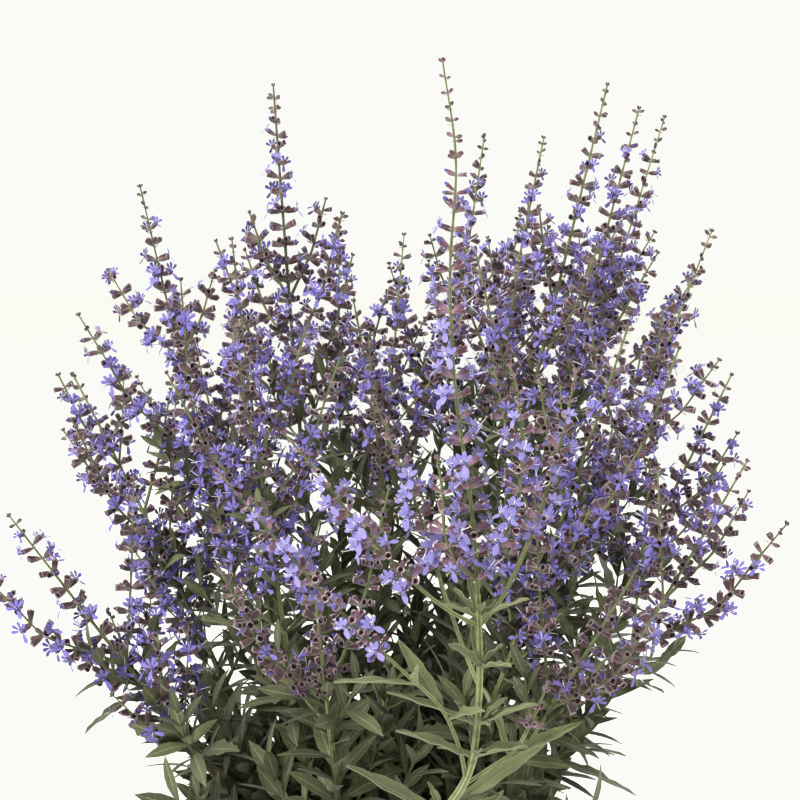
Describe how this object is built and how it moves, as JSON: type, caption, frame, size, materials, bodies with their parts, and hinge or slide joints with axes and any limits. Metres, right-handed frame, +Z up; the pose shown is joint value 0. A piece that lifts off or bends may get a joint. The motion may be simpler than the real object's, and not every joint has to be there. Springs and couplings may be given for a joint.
{
  "type": "potted russian sage",
  "caption": "Bush of branching stems with whorls of small violet florets and toothed grey-green leaves, growing from soil in a round black nursery pot.",
  "frame": {"origin": "middle of the pot's flat base, on the surface that it stands on", "axes": "+Z up; -Y towards the viewer, the side where the tall front stem leans out over the rim; +X right"},
  "size_m": [0.3404, 0.3417, 0.483],
  "materials": {
    "pot_plastic": "satin",
    "potting_soil": "crumbly, matt",
    "green_shoots": "soft grey bloom",
    "violet_flowers": "downy"
  },
  "bodies": {
    "root": {"pot": "pot_plastic", "soil": "potting_soil", "stem_01_leaves": "green_shoots", "stem_02_leaves": "green_shoots", "stem_03_leaves": "green_shoots", "stem_04_leaves": "green_shoots", "stem_05_leaves": "green_shoots", "stem_06_leaves": "green_shoots", "stem_07_leaves": "green_shoots", "stem_08_leaves": "green_shoots", "stem_09_leaves": "green_shoots", "stem_10_leaves": "green_shoots", "stem_11_leaves": "green_shoots", "stem_12_leaves": "green_shoots", "stem_13_leaves": "green_shoots", "stem_14_leaves": "green_shoots", "stem_15_leaves": "green_shoots", "stem_16_leaves": "green_shoots", "stem_17_leaves": "green_shoots", "stem_18_leaves": "green_shoots", "stem_19_leaves": "green_shoots", "stem_20_leaves": "green_shoots", "stem_21_leaves": "green_shoots", "front_leaves": "green_shoots", "stem_01_flowers": "violet_flowers", "stem_02_flowers": "violet_flowers", "stem_03_flowers": "violet_flowers", "stem_04_flowers": "violet_flowers", "stem_05_flowers": "violet_flowers", "stem_06_flowers": "violet_flowers", "stem_07_flowers": "violet_flowers", "stem_08_flowers": "violet_flowers", "stem_09_flowers": "violet_flowers", "stem_10_flowers": "violet_flowers", "stem_11_flowers": "violet_flowers", "stem_12_flowers": "violet_flowers", "stem_13_flowers": "violet_flowers", "stem_14_flowers": "violet_flowers", "stem_15_flowers": "violet_flowers", "stem_16_flowers": "violet_flowers", "stem_17_flowers": "violet_flowers", "stem_18_flowers": "violet_flowers", "stem_19_flowers": "violet_flowers", "stem_20_flowers": "violet_flowers", "stem_21_flowers": "violet_flowers", "front_flowers": "violet_flowers", "front_spike_low_left": "violet_flowers", "front_spike_mid_left": "violet_flowers", "front_spike_upper_left": "violet_flowers", "front_spike_right": "violet_flowers", "front_young_shoot": "violet_flowers"}
  },
  "joints": []
}
